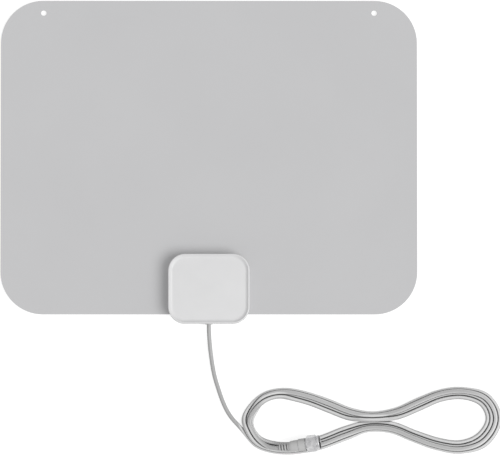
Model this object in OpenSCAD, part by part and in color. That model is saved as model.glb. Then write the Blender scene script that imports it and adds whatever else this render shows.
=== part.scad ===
// Flat indoor television antenna, lying on its back.
// A thin laminated sheet carries two foil wings. A small feed pod clips over the middle of its lower
// edge, and a thin coaxial lead runs from the pod to a loose hank that ends in a screw-on plug.
// +Z comes out of the front, +Y runs up the sheet to the hanging holes, and z = 0 is the table.

/* [Sheet] */
// Width of the sheet
sheet_w = 305; // [260:5:340]
// Height of the sheet
sheet_h = 230; // [200:5:260]
// Radius of the sheet's corners
sheet_corner_r = 31; // [10:1:45]
// Thickness of each of the two films
film_t = 0.5; // [0.4:0.05:0.6]
// Thickness of the foil between the films
foil_t = 0.1; // [0.05:0.05:0.2]
// Diameter of the two hanging holes
hang_hole_d = 4; // [3:0.5:6]
// Distance between the hanging holes
hang_hole_pitch = 242.3; // [180:0.1:246]
// Distance from the top edge to the middle of the hanging holes
hang_hole_edge = 9; // [6:0.5:14]

/* [Pod] */
// Width of the pod
pod_w = 59.5; // [58:0.5:66]
// Height of the pod, along the sheet
pod_h = 51; // [50:0.5:56]
// Radius of the pod's corners
pod_corner_r = 12.5; // [11:0.5:13]
// How far the pod stands out below the sheet
pod_overhang = 7; // [6.5:0.5:8]
// Height of the rim's crest above the table
crest_z = 12.4; // [12:0.1:14]
// Depth of the dished face below the crest
dish_depth = 1.3; // [0.8:0.1:1.6]
// Radius that rounds the outside of the rim
rim_round = 0.7; // [0.6:0.1:1.4]
// Width of the flat crest of the rim
crest_w = 0.2; // [0.1:0.1:0.6]
// Width of the slope from the crest down to the face
dish_slope = 2.4; // [1.6:0.1:2.6]
// Wall thickness of the pod
wall = 1.6; // [1.4:0.1:1.8]
// Thickness of the rear cover's plate
rear_plate_t = 1; // [0.8:0.1:1.2]

/* [Lead] */
// Diameter of the coaxial lead
lead_d = 3; // [3:0.1:3.2]

/* [Plug] */
// Width of the coupling nut across its flats
nut_af = 11; // [11:0.1:11.2]
// Length of the hexagon
hex_len = 7.3; // [6.5:0.1:7.5]
// Bore of the nut, where its thread is cut
nut_bore_d = 8.7; // [8.6:0.1:8.9]
// Diameter of the centre pin where it stands free
pin_d = 0.8; // [0.6:0.1:1]
// How far the pin stands out of the nut
pin_out = 1; // [0.5:0.1:3]
// Turn of the nut on its axis, from one corner straight up
nut_turn = 20; // [0:1:60]

/* [Hidden] */

gap = 0.1; // play between parts that only pass through each other
bore_fn = 48;
cut = 1; // how far a cutting shape reaches past what it cuts

// Heights of the layers
rear_film_z = rear_plate_t;
foil_z = rear_film_z + film_t;
sheet_top_z = foil_z + film_t;
face_z = crest_z - dish_depth;
roof_z = face_z - wall;

// Places along the sheet
half_height = (sheet_h + pod_overhang) / 2;
sheet_bottom_y = pod_overhang - half_height;
pod_bottom_y = -half_height;
pod_cy = pod_bottom_y + pod_h / 2;

// Screw bosses of the pod, which also carry the circuit board
boss_x = 20.5;
boss_y = 12.5;
boss_r = 3;
boss_top_z = 3.4;
screw_r = 1;
screw_clear_r = 1.2;
screw_head_r = 2.1;
head_seat_z = 1.6;
head_rim_z = 0.3;
screw_end_z = 8.8;
BOSSES = [for (sx = [-1, 1], sy = [-1, 1]) [sx * boss_x, pod_cy + sy * boss_y]];

// Circuit board and what stands on it
board_w = 51;
board_h = 37;
board_t = 1;
board_r = 2;
board_cy = pod_cy + 2;
board_top_z = boss_top_z + board_t;
core_y = pod_cy + 5;
core_r = 2.2;
core_half_pitch = 1.7;
core_len = 6;
core_hole_r = 0.9;
core_z = board_top_z + core_r;
wire_t = 0.3;
chip = [2, 1.25, 0.8];
chip_cap = 0.4;
CHIPS = [[-12, 10], [-12, -2], [12, 4]];

// Feed contacts and their windows in the front film
feed_x = 9;
feed_y = pod_cy - 1;
window = [5, 6];
contact_w = 3;
contact_t = 0.2;

// Lead where it leaves the pod, and its clamp
lead_r = lead_d / 2;
exit_z = board_top_z + lead_r + gap;
lead_bore_r = lead_r + 0.05;
grommet_neck_r = 2.6;
grommet_out = 0.5;
grommet_out_r = 3;
grommet_flange_r = 2.9;
grommet_flange_t = 1;
clamp_y = pod_bottom_y + 13;
clamp_len = 4;
clamp_t = 1;
clamp_half_w = 6.6;
clamp_screw_x = 4.7;
clamp_screw_r = 0.75;
clamp_head_r = 1.4;
jacket_end = 17.5; // from the pod's lower edge
braid_len = 3;
dielectric_len = 5;
conductor_len = 8;
braid_r = 1.15;
dielectric_r = 0.85;
conductor_r = 0.25;

// Route of the lead, from inside the pod to the hank: x, distance past the pod's lower edge, height
lead_route = [[0, jacket_end, exit_z], [0, 9, exit_z], [0, 0, exit_z], [0, -5, 5.8], [0.3, -10, 4.9],
              [0.7, -15, 3.5], [1.2, -20, 2.2], [2, -26, 1.6], [3, -32.5, 1.5], [4.5, -39.5, 1.5],
              [6.8, -47, 1.5], [9.5, -55, 1.5], [13, -63, 1.5], [17.5, -69.8, 1.5], [22, -74.5, 1.5]];
// The stretch where the lead runs into the hank's outer lane
joining_route = [[22, -74.5], [25.7, -78.9], [29, -83], [33, -87.5]];
// The middle of the hank's bundle, once round from its left end by way of the lower side
hank_knots = [[28, -70.5], [34.5, -85], [49.5, -90.5], [66.5, -90], [83.5, -85.5], [100, -79],
              [116.5, -74.5], [134, -75.5], [150.5, -82], [167, -87.5], [184, -89.5], [199, -83.5],
              [207, -70], [201.5, -56.5], [186.5, -50.7], [169.5, -52.3], [153.5, -59], [137.5, -65.5],
              [120.5, -68.5], [104, -66.5], [88, -60.5], [71.5, -54.3], [54.5, -51.2], [39, -55.6]];
// How far the outermost strand lies out at each knot, in diameters from its place against the others
hank_spread = [0, 0, 0, 0.1, 0.4, 0.5, 0, 0, 0, 0.1, 0.3, 0.9,
               0.9, 0.6, 0, 0, 0.2, 0, 0, 0.2, 0.3, 0.1, 0, 0];
// Route of the lead's end, from the top of the hank up to the plug
tail_route = [[32.3, -79.6, 4.5], [35.5, -84, 5], [40.3, -88, 6.3], [45.8, -90.5, 7.5],
              [51.6, -90.6, 8.7]];
hank_steps = 4; // points of the outline between two knots
layer_z = lead_d; // the upper strands lie in the grooves between the lower ones
hank_top_z = lead_r + lead_d * sqrt(3) / 2 + lead_r;
// Stretches of the bundle, counted in knots
left_hole_span = [18.9, 29.3];
right_hole_span = [7, 17.3];
crossing_span = [17.3, 18.8];
stacked_span = [21.75, 24.75];
level_span = [10.5, 13.4];
tube_sides = 8;

// Plug, along its own axis from the tail of its boot
plug_at = tail_route[len(tail_route) - 1];
plug_yaw = 8;
plug_pitch = 10;
tail_r = 2.6;
groove_r = 1.9;
groove_w = 0.9;
GROOVES = [1, 3, 5.1];
shoulder_x = 6.8;
body_x = 9.3;
body_r = 4;
collar_x = 14.5;
collar_r = 4.6;
boot_end_x = 19.7;
boot_chamfer = 0.4;
socket_depth = 6;
ferrule_x = 12;
ferrule_r = 3.3;
neck_r = 3.8;
neck_end_x = boot_end_x + 0.5;
post_x = 13;
post_r = 2.6;
post_bore_r = 2;
pin_root_r = 0.6;
nut_x = neck_end_x + 0.3;
nut_back_t = 1;
post_clear = 0.3;
flange_x = nut_x + nut_back_t + post_clear;
flange_t = 1;
flange_r = nut_bore_d / 2 - 0.35;
groove_len = 0.7;
groove_out_r = 5;
rim_len = 1.6;
rim_out_r = 5.35;
nut_corner_r = nut_af / 2 / cos(30);
nut_chamfer = 0.7;
nut_end_x = nut_x + hex_len + groove_len + rim_len;

function unit(v) = v / norm(v);
function between(a, b, f) = a + (b - a) * f;
// Point of the smooth curve between p1 and p2 that also passes through p0 and p3
function smooth(p0, p1, p2, p3, f) =
    0.5 * (2 * p1 + (p2 - p0) * f + (2 * p0 - 5 * p1 + 4 * p2 - p3) * f * f
           + (3 * p1 - p0 - 3 * p2 + p3) * f * f * f);
function knot(i) = hank_knots[i % len(hank_knots)];
function spine(t) =
    let (n = len(hank_knots), i = floor(t) + n)
    smooth(knot(i - 1), knot(i), knot(i + 1), knot(i + 2), t - floor(t));
function spine_out(t) = let (d = unit(spine(t + 0.02) - spine(t - 0.02))) [d[1], -d[0]];
function spread(t) =
    let (n = len(hank_knots), i = floor(t) + n, f = t - floor(t))
    between(hank_spread[i % n], hank_spread[(i + 1) % n], f * f * (3 - 2 * f));
// Point beside the middle of the bundle, at a distance u outwards
function lane(t, u) = spine(t) + u * spine_out(t);
function lane_points(t0, t1, u, n) = [for (i = [0:n]) lane(between(t0, t1, i / n), u)];
function flat(p) = [p[0], p[1]];
// Direction of a route at point i, from its neighbours
function heading(route, i) =
    unit(route[min(i + 1, len(route) - 1)] - route[max(i - 1, 0)]);
// Point beside point i of a route, at a distance d to its right
function beside(route, i, d) =
    let (h = heading([for (p = route) flat(p)], i)) flat(route[i]) + d * [h[1], -h[0]];

module rounded_rect(w, h, r) {
    square([w - 2 * r, h], center = true);
    square([w, h - 2 * r], center = true);
    for (sx = [-1, 1], sy = [-1, 1])
        translate([sx * (w / 2 - r), sy * (h / 2 - r)]) circle(r, $fn = 96);
}

module pod_place() translate([0, pod_cy, 0]) children();

module route_place() translate([0, pod_bottom_y, 0]) children();

// Outline of one film, with its hanging holes and the holes that the pod's bosses pass through
module film_outline() {
    difference() {
        translate([0, sheet_bottom_y + sheet_h / 2]) rounded_rect(sheet_w, sheet_h, sheet_corner_r);
        for (sx = [-1, 1])
            translate([sx * hang_hole_pitch / 2, sheet_bottom_y + sheet_h - hang_hole_edge])
                circle(d = hang_hole_d, $fn = bore_fn);
        for (p = BOSSES) translate(p) circle(boss_r + gap, $fn = bore_fn);
    }
}

// One wing of the antenna: a track up from the feed pad that opens into a slotted plate
module wing_outline() {
    inner_x = feed_x - 4;
    track_x = feed_x + 4;
    wing_bottom_y = pod_cy + pod_h / 2 + 4;
    wing_top_y = sheet_h / 2 - 26;
    outer_x = sheet_w / 2 - 18;
    shoulder_y = wing_bottom_y + 34;
    slot_r = 3;
    slot_count = 4;
    difference() {
        polygon([[inner_x, feed_y - 5], [track_x, feed_y - 5], [track_x, wing_bottom_y],
                 [outer_x * 0.55, shoulder_y - 18], [outer_x, shoulder_y], [outer_x, wing_top_y - 20],
                 [outer_x - 30, wing_top_y], [outer_x * 0.4, wing_top_y], [inner_x, wing_bottom_y + 70]]);
        for (i = [0:slot_count - 1])
            translate([outer_x * 0.42, shoulder_y + 10 + i * 22]) {
                translate([0, -slot_r]) square([outer_x * 0.42, 2 * slot_r]);
                circle(slot_r, $fn = 32);
                translate([outer_x * 0.42, 0]) circle(slot_r, $fn = 32);
            }
    }
}

module mirrored(side) {
    if (side < 0) mirror([1, 0, 0]) children();
    else children();
}

module wing(side) translate([0, 0, foil_z]) linear_extrude(foil_t) mirrored(side) wing_outline();

module rear_film() color([0.75, 0.75, 0.75])
    translate([0, 0, rear_film_z]) linear_extrude(film_t) film_outline();

module front_film() color([0.77, 0.77, 0.77])
    difference() {
        translate([0, 0, foil_z]) linear_extrude(film_t)
            difference() {
                film_outline();
                for (sx = [-1, 1]) translate([sx * feed_x, feed_y]) square(window, center = true);
            }
        wing(-1);
        wing(1);
    }

module radiator_left() color([0.8, 0.5, 0.3]) wing(-1);

module radiator_right() color([0.8, 0.5, 0.3]) wing(1);

// Section of the pod's wall and rim: x runs inwards from the outside, y is the height
module rim_section() {
    arc_steps = 10;
    crest_in = rim_round + crest_w;
    face_in = crest_in + dish_slope;
    section_w = pod_corner_r - 3;
    inner_round = 0.6;
    polygon(concat(
        [[0, sheet_top_z]],
        [for (i = [0:arc_steps]) let (a = 180 - 90 * i / arc_steps)
            [rim_round + rim_round * cos(a), crest_z - rim_round + rim_round * sin(a)]],
        [[crest_in, crest_z], [between(crest_in, face_in, 0.3), between(crest_z, face_z, 0.45)],
         [between(crest_in, face_in, 0.6), between(crest_z, face_z, 0.8)], [face_in, face_z],
         [section_w, face_z], [section_w, roof_z], [wall + inner_round, roof_z],
         [wall + 0.3 * inner_round, roof_z - 0.3 * inner_round], [wall, roof_z - inner_round],
         [wall, sheet_top_z]]));
}

// The wall goes once round the pod: a turned quarter at each corner and a straight run after it
module rim_wall() {
    corner_x = pod_w / 2 - pod_corner_r;
    corner_y = pod_h / 2 - pod_corner_r;
    corners = [[corner_x, corner_y], [-corner_x, corner_y], [-corner_x, -corner_y], [corner_x, -corner_y]];
    for (i = [0:3]) translate(corners[i]) rotate(90 * i) {
        rotate_extrude(angle = 90, $fn = 96) rim_outline();
        rotate([90, 0, 0]) linear_extrude(i % 2 == 0 ? 2 * corner_y : 2 * corner_x) rim_outline();
    }
}

module rim_outline() translate([pod_corner_r, 0]) mirror([1, 0]) rim_section();

module pod_front_cover() color([0.93, 0.93, 0.93])
    difference() {
        pod_place() {
            rim_wall();
            translate([0, 0, roof_z]) linear_extrude(wall)
                rounded_rect(pod_w - 2 * pod_corner_r + 6, pod_h - 2 * pod_corner_r + 6, 3);
            for (sx = [-1, 1], sy = [-1, 1])
                translate([sx * boss_x, sy * boss_y, board_top_z])
                    difference() {
                        cylinder(r = boss_r, h = roof_z - board_top_z, $fn = bore_fn);
                        translate([0, 0, -cut])
                            cylinder(r = screw_r, h = roof_z - board_top_z + cut - 0.4, $fn = bore_fn);
                    }
        }
        translate([0, pod_bottom_y - cut, exit_z]) rotate([-90, 0, 0])
            cylinder(r = grommet_neck_r, h = wall + 2 * cut, $fn = bore_fn);
    }

module pod_rear_cover() color([0.9, 0.9, 0.9])
    difference() {
        union() {
            pod_place() linear_extrude(rear_plate_t) rounded_rect(pod_w, pod_h, pod_corner_r);
            linear_extrude(sheet_top_z) intersection() {
                pod_place() rounded_rect(pod_w, pod_h, pod_corner_r);
                translate([-pod_w / 2, pod_bottom_y]) square([pod_w, pod_overhang - gap]);
            }
            for (p = BOSSES) translate(p) cylinder(r = boss_r, h = boss_top_z, $fn = bore_fn);
        }
        for (p = BOSSES) translate([p[0], p[1], -cut]) {
            cylinder(r = screw_clear_r, h = boss_top_z + 2 * cut, $fn = bore_fn);
            cylinder(r = screw_head_r + gap, h = head_seat_z + cut, $fn = bore_fn);
        }
    }

// A screw whose head faces down and whose tip points up
module screw(head_r, head_z, seat_z, shank_r, end_z) {
    translate([0, 0, head_z]) cylinder(r = head_r, h = seat_z - head_z, $fn = bore_fn);
    translate([0, 0, seat_z]) cylinder(r = shank_r, h = end_z - seat_z, $fn = bore_fn);
}

module pod_screws() color("silver")
    for (p = BOSSES) translate(p) difference() {
        screw(screw_head_r, head_rim_z, head_seat_z, screw_r, screw_end_z);
        for (a = [0, 90]) rotate(a) translate([-1.2, -0.25, head_rim_z - cut])
            cube([2.4, 0.5, cut + 0.6]);
    }

module circuit_board() color([0.1, 0.4, 0.2])
    translate([0, 0, boss_top_z]) linear_extrude(board_t) difference() {
        translate([0, board_cy]) rounded_rect(board_w, board_h, board_r);
        for (p = BOSSES) translate(p) circle(screw_clear_r, $fn = bore_fn);
        for (sx = [-1, 1]) translate([sx * clamp_screw_x, clamp_y]) circle(clamp_screw_r, $fn = bore_fn);
    }

// Ferrite core with two holes, for the balun
module balun_core() color([0.25, 0.25, 0.27])
    translate([0, core_y + core_len / 2, core_z]) rotate([90, 0, 0]) linear_extrude(core_len)
        difference() {
            union() {
                square([2 * core_half_pitch, 2 * core_r], center = true);
                for (sx = [-1, 1]) translate([sx * core_half_pitch, 0]) circle(core_r, $fn = bore_fn);
            }
            for (sx = [-1, 1]) translate([sx * core_half_pitch, 0]) circle(core_hole_r, $fn = bore_fn);
        }

// Closed turns of wire that go out through one hole of the core and back through the other
module winding(turn_heights, out) {
    outer_w = 2 * core_half_pitch + wire_t;
    outer_l = core_len + 2 * out;
    for (h = turn_heights) translate([0, core_y, core_z + h]) linear_extrude(wire_t) difference() {
        rounded_rect(outer_w, outer_l, 0.9);
        rounded_rect(outer_w - 2 * wire_t, outer_l - 2 * wire_t, 0.9 - wire_t);
    }
}

module balun_primary() color([0.75, 0.3, 0.15]) winding([0.05, 0.4], 0.8);

module balun_secondary() color([0.8, 0.55, 0.2]) winding([-0.35, -0.7], 0.8);

module chip_capacitors() color([0.7, 0.6, 0.45])
    for (c = CHIPS) translate([c[0], pod_cy + c[1], board_top_z]) {
        translate([-chip[0] / 2, -chip[1] / 2, 0.05]) cube([chip[0], chip[1], chip[2] - 0.1]);
        for (end = [-chip[0] / 2, chip[0] / 2 - chip_cap])
            translate([end, -chip[1] / 2 - 0.05, 0]) cube([chip_cap, chip[1] + 0.1, chip[2]]);
    }

// Sprung strip from the underside of the board down through the film's window to the foil
module feed_contact(side) {
    foil_top_z = foil_z + foil_t;
    under_board_z = boss_top_z;
    translate([side * feed_x - contact_w / 2, 0, 0]) rotate([90, 0, 90]) linear_extrude(contact_w)
        polygon([[feed_y + 5, under_board_z], [feed_y + 2.2, under_board_z],
                 [feed_y - 0.6, foil_top_z + contact_t], [feed_y - 1.8, foil_top_z + 0.7],
                 [feed_y - 1.95, foil_top_z + 0.5], [feed_y - 0.8, foil_top_z],
                 [feed_y - 0.2, foil_top_z], [feed_y + 2.1, under_board_z - contact_t],
                 [feed_y + 5, under_board_z - contact_t]]);
}

module feed_contact_left() color([0.85, 0.75, 0.45]) feed_contact(-1);

module feed_contact_right() color([0.85, 0.75, 0.45]) feed_contact(1);

// Rubber bush that is gripped by the hole in the pod's lower wall
module cable_grommet() color([0.92, 0.92, 0.92])
    translate([0, pod_bottom_y, exit_z]) rotate([-90, 0, 0]) rotate_extrude($fn = bore_fn)
        polygon([[lead_bore_r, -grommet_out], [grommet_out_r - 0.5, -grommet_out],
                 [grommet_out_r, -0.3], [grommet_out_r, 0], [grommet_neck_r, 0],
                 [grommet_neck_r, wall], [grommet_flange_r, wall],
                 [grommet_flange_r, wall + 0.6], [grommet_neck_r, wall + grommet_flange_t],
                 [lead_bore_r, wall + grommet_flange_t]]);

module cable_clamp() color([0.2, 0.2, 0.22])
    translate([0, clamp_y + clamp_len / 2, 0]) rotate([90, 0, 0]) difference() {
        linear_extrude(clamp_len) difference() {
            union() {
                translate([0, exit_z]) circle(lead_bore_r + clamp_t, $fn = bore_fn);
                translate([-clamp_half_w, board_top_z]) square([2 * clamp_half_w, clamp_t]);
            }
            translate([0, exit_z]) circle(lead_bore_r, $fn = bore_fn);
            translate([-lead_bore_r, board_top_z - cut])
                square([2 * lead_bore_r, exit_z - board_top_z + cut]);
            translate([-clamp_half_w, board_top_z - 2 * cut]) square([2 * clamp_half_w, 2 * cut]);
        }
        for (sx = [-1, 1]) translate([sx * clamp_screw_x, board_top_z - cut, clamp_len / 2])
            rotate([-90, 0, 0]) cylinder(r = clamp_screw_r, h = clamp_t + 2 * cut, $fn = bore_fn);
    }

module clamp_screws() color("silver")
    for (sx = [-1, 1]) translate([sx * clamp_screw_x, clamp_y, 0])
        mirror([0, 0, 1]) screw(clamp_head_r, -board_top_z - clamp_t - 0.8, -board_top_z - clamp_t,
                                clamp_screw_r, -boss_top_z + 0.6);

// The bared end of the lead inside the pod, layer by layer
module along_lead() translate([0, pod_bottom_y + jacket_end, exit_z]) rotate([-90, 0, 0]) children();

module lead_braid() color([0.7, 0.7, 0.72]) {
    along_lead() difference() {
        cylinder(r = braid_r, h = braid_len, $fn = bore_fn);
        translate([0, 0, -cut]) cylinder(r = dielectric_r, h = braid_len + 2 * cut, $fn = bore_fn);
    }
    drain_x = braid_r + 0.2;
    translate([drain_x, pod_bottom_y + jacket_end + braid_len / 2, board_top_z])
        cylinder(r = 0.4, h = exit_z - board_top_z, $fn = 24);
}

module lead_dielectric() color([0.95, 0.95, 0.92])
    along_lead() difference() {
        cylinder(r = dielectric_r, h = dielectric_len, $fn = bore_fn);
        translate([0, 0, -cut]) cylinder(r = conductor_r, h = dielectric_len + 2 * cut, $fn = bore_fn);
    }

module lead_conductor() color([0.8, 0.45, 0.3]) {
    along_lead() cylinder(r = conductor_r, h = conductor_len, $fn = 24);
    translate([0, pod_bottom_y + jacket_end + conductor_len - conductor_r, board_top_z])
        cylinder(r = conductor_r, h = exit_z - board_top_z, $fn = 24);
}

// A round tube with flat ends, one ring at each point of the route
module tube(route) {
    n = len(route);
    rings = [for (i = [0:n - 1])
        let (h = heading(route, i), side = unit([h[1], -h[0], 0]), up = cross(side, h))
        for (k = [0:tube_sides - 1]) let (a = 360 * (k + 0.5) / tube_sides)
            route[i] + lead_r * (cos(a) * side + sin(a) * up)];
    walls = [for (i = [0:n - 2], k = [0:tube_sides - 1])
        let (a = i * tube_sides + k, b = i * tube_sides + (k + 1) % tube_sides)
            [a, b, b + tube_sides, a + tube_sides]];
    first = [for (k = [tube_sides - 1:-1:0]) k];
    last = [for (k = [0:tube_sides - 1]) (n - 1) * tube_sides + k];
    route_place() polyhedron(points = rings, faces = concat([first], [last], walls));
}

// A flat strip of a given width along a route
module strip(route, w) {
    n = len(route);
    polygon(concat([for (i = [0:n - 1]) beside(route, i, w / 2)],
                   [for (i = [n - 1:-1:0]) beside(route, i, -w / 2)]));
}

// Part of the bundle between two distances from its middle
module band(span, u0, u1) {
    n = ceil((span[1] - span[0]) * hank_steps);
    polygon(concat(lane_points(span[0], span[1], u0, n), lane_points(span[1], span[0], u1, n)));
}

// Outline of the whole loop at a distance u from the bundle's middle, with a share of the spread added
module loop_outline(u, share) {
    n = len(hank_knots) * hank_steps;
    polygon([for (i = [0:n - 1]) lane(i / hank_steps, u + share * lead_d * spread(i / hank_steps))]);
}

// The open space inside one end of the hank
module loop_hole(span, u) {
    n = ceil((span[1] - span[0]) * hank_steps);
    polygon(lane_points(span[0], span[1], u, n));
}

module cord_lead() color([0.8, 0.8, 0.8]) tube(lead_route);

// Three strands lie side by side on the table, and the fourth rides in the groove between the outer two,
// down to the table where they spread apart
module cord_hank() color([0.8, 0.8, 0.8]) route_place() {
    linear_extrude(layer_z) {
        difference() {
            loop_outline(1.5 * lead_d, 1);
            loop_hole(left_hole_span, -1.5 * lead_d);
            loop_hole(right_hole_span, -1.5 * lead_d);
        }
        strip(joining_route, lead_d);
    }
    translate([0, 0, layer_z]) linear_extrude(hank_top_z - layer_z) difference() {
        union() {
            difference() {
                loop_outline(lead_d, 0.5);
                loop_outline(0, 0.5);
                band(level_span, 0, 2 * lead_d);
            }
            band(stacked_span, -lead_d, 0);
            band(crossing_span, -lead_d, 0);
        }
        strip(tail_route, lead_d + 2 * gap);
    }
}

module cord_tail() color([0.8, 0.8, 0.8]) tube(concat(tail_route, [plug_axis_point(socket_depth)]));

// Point on the plug's axis, at a distance from the tail of its boot
function plug_axis_point(x) =
    plug_at + x * [cos(plug_pitch) * cos(plug_yaw), cos(plug_pitch) * sin(plug_yaw), sin(plug_pitch)];

// Turns a profile, drawn with x along the plug and y outwards, round the plug's axis
module on_plug() route_place() translate(plug_at) rotate([0, -plug_pitch, plug_yaw]) rotate([90, 0, 90])
    children();

module turned() rotate_extrude($fn = bore_fn) mirror([1, -1]) children();

module plug_boot() color([0.85, 0.85, 0.85])
    on_plug() turned() difference() {
        polygon([[0, lead_bore_r], [0, tail_r - 0.3], [0.3, tail_r], [shoulder_x, tail_r],
                 [shoulder_x + 0.5, tail_r + 0.5], [between(shoulder_x, body_x, 0.6), body_r - 0.3],
                 [body_x, body_r], [collar_x, body_r + 0.15], [collar_x, collar_r - boot_chamfer],
                 [collar_x + boot_chamfer, collar_r], [boot_end_x - boot_chamfer, collar_r],
                 [boot_end_x, collar_r - boot_chamfer], [boot_end_x, ferrule_r],
                 [ferrule_x, ferrule_r], [ferrule_x, 0], [socket_depth, 0], [socket_depth, lead_bore_r]]);
        for (x = GROOVES) translate([x, groove_r]) square([groove_w, tail_r]);
    }

module plug_ferrule() color([0.75, 0.75, 0.78])
    on_plug() turned()
        polygon([[ferrule_x, post_r], [ferrule_x, ferrule_r], [boot_end_x, ferrule_r],
                 [boot_end_x, neck_r], [neck_end_x, neck_r], [neck_end_x, post_r]]);

module plug_post() color([0.72, 0.72, 0.75])
    on_plug() turned()
        polygon([[post_x, post_bore_r], [post_x, post_r], [flange_x, post_r], [flange_x, flange_r],
                 [flange_x + flange_t, flange_r], [flange_x + flange_t, post_bore_r]]);

module plug_insulator() color([0.95, 0.95, 0.95])
    on_plug() turned()
        polygon([[post_x, pin_root_r], [post_x, post_bore_r], [flange_x + flange_t, post_bore_r],
                 [flange_x + flange_t, pin_root_r]]);

module plug_pin() color([0.8, 0.5, 0.35])
    on_plug() turned()
        polygon([[post_x, 0], [post_x, pin_root_r], [flange_x + flange_t, pin_root_r],
                 [flange_x + flange_t, pin_d / 2], [nut_end_x + pin_out - 0.2, pin_d / 2],
                 [nut_end_x + pin_out, pin_d / 2 - 0.2], [nut_end_x + pin_out, 0]]);

// Hexagon with chamfered corners, then a ring groove and a round front rim
module coupling_nut() color([0.78, 0.78, 0.8])
    on_plug() difference() {
        union() {
            intersection() {
                translate([0, 0, nut_x]) rotate(30 + nut_turn)
                    cylinder(r = nut_corner_r, h = hex_len, $fn = 6);
                turned() polygon([[nut_x, 0], [nut_x, nut_af / 2 - 0.1],
                                  [nut_x + nut_chamfer, nut_corner_r],
                                  [nut_x + hex_len - nut_chamfer, nut_corner_r],
                                  [nut_x + hex_len, nut_af / 2 - 0.1], [nut_x + hex_len, 0]]);
            }
            turned() polygon([[nut_x + hex_len, 0], [nut_x + hex_len, groove_out_r],
                              [nut_x + hex_len + groove_len, groove_out_r],
                              [nut_x + hex_len + groove_len, rim_out_r - 0.3],
                              [nut_x + hex_len + groove_len + 0.3, rim_out_r],
                              [nut_end_x - 0.3, rim_out_r], [nut_end_x, rim_out_r - 0.3], [nut_end_x, 0]]);
        }
        translate([0, 0, nut_x - cut])
            cylinder(r = post_r + post_clear, h = nut_back_t + 2 * cut, $fn = bore_fn);
        translate([0, 0, nut_x + nut_back_t]) cylinder(d = nut_bore_d, h = nut_end_x, $fn = bore_fn);
    }

front_film();
rear_film();
radiator_left();
radiator_right();
pod_front_cover();
pod_rear_cover();
pod_screws();
circuit_board();
balun_core();
balun_primary();
balun_secondary();
chip_capacitors();
feed_contact_left();
feed_contact_right();
cable_grommet();
cable_clamp();
clamp_screws();
lead_braid();
lead_dielectric();
lead_conductor();
cord_lead();
cord_hank();
cord_tail();
plug_boot();
plug_ferrule();
plug_post();
plug_insulator();
plug_pin();
coupling_nut();
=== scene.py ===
"""Looks of a flat indoor television antenna that lies on its back, with its lead in a loose hank.

Most rigid pieces keep the solids of the frame and get their finishes here. The soft lead is made here
as one tube along its real route. The pod's cover, the plug's boot and the screw nut are made again
with their rounded dish, deep ring grooves and thread.

Sizes of shapes are in millimetres and angles in radians, and points are turned to metres as they go into
a mesh.
"""

import math

import bmesh
import bpy
import numpy as np
from mathutils import Matrix, Vector


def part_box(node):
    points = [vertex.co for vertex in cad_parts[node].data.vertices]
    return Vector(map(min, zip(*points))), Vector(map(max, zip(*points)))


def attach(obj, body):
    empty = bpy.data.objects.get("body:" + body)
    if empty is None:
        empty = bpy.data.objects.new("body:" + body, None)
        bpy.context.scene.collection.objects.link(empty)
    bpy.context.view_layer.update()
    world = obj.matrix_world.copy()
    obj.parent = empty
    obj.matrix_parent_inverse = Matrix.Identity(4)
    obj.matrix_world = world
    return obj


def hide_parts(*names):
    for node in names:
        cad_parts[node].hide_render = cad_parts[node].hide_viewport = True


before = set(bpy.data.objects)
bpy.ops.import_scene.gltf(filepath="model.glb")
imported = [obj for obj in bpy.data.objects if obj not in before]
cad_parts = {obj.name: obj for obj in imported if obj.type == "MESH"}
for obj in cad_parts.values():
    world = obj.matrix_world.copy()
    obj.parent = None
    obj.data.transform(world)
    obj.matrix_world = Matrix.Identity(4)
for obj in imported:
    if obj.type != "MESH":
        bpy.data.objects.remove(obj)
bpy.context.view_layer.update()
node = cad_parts

MM = 0.001

# The pod's cover, whose box in the frame gives the pod's place and size
POD_LOW, POD_HIGH = [np.round(np.array(corner) / MM, 3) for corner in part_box("pod_front_cover")]
POD_W, POD_H = POD_HIGH[0] - POD_LOW[0], POD_HIGH[1] - POD_LOW[1]
POD_BOTTOM_Y = POD_LOW[1]
POD_MIDDLE_Y = (POD_LOW[1] + POD_HIGH[1]) / 2
WALL_FOOT_Z, CREST_Z = POD_LOW[2], POD_HIGH[2]

# The way the plug points, and how deep the lead's end goes into its boot
PLUG_YAW = math.radians(8)
PLUG_PITCH = math.radians(10)
PLUG_AXIS = np.array(
    [
        math.cos(PLUG_PITCH) * math.cos(PLUG_YAW),
        math.cos(PLUG_PITCH) * math.sin(PLUG_YAW),
        math.sin(PLUG_PITCH),
    ]
)
BOOT_SOCKET = 6.0

# The lead's route, as in the part's source: x, distance past the pod's lower edge, height
LEAD_D = 3.0
LEAD_ROUTE = [
    [0, 17.5, 6], [0, 9, 6], [0, 0, 6], [0, -5, 5.8], [0.3, -10, 4.9], [0.7, -15, 3.5], [1.2, -20, 2.2],
    [2, -26, 1.6], [3, -32.5, 1.5], [4.5, -39.5, 1.5], [6.8, -47, 1.5], [9.5, -55, 1.5], [13, -63, 1.5],
    [17.5, -69.8, 1.5], [22, -74.5, 1.5], [25.7, -78.9, 1.5], [29, -83, 1.5],
]
TAIL_ROUTE = [[32.3, -79.6, 4.5], [35.5, -84, 5], [40.3, -88, 6.3], [45.8, -90.5, 7.5], [51.6, -90.6, 8.7]]
GROMMET_FACE = [0, -0.5, 6]

# The middle of the hank's bundle, once round from its left end by way of the lower side
HANK_KNOTS = [
    [28, -70.5], [34.5, -85], [49.5, -90.5], [66.5, -90], [83.5, -85.5], [100, -79], [116.5, -74.5],
    [134, -75.5], [150.5, -82], [167, -87.5], [184, -89.5], [199, -83.5], [207, -70], [201.5, -56.5],
    [186.5, -50.7], [169.5, -52.3], [153.5, -59], [137.5, -65.5], [120.5, -68.5], [104, -66.5],
    [88, -60.5], [71.5, -54.3], [54.5, -51.2], [39, -55.6],
]
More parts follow.
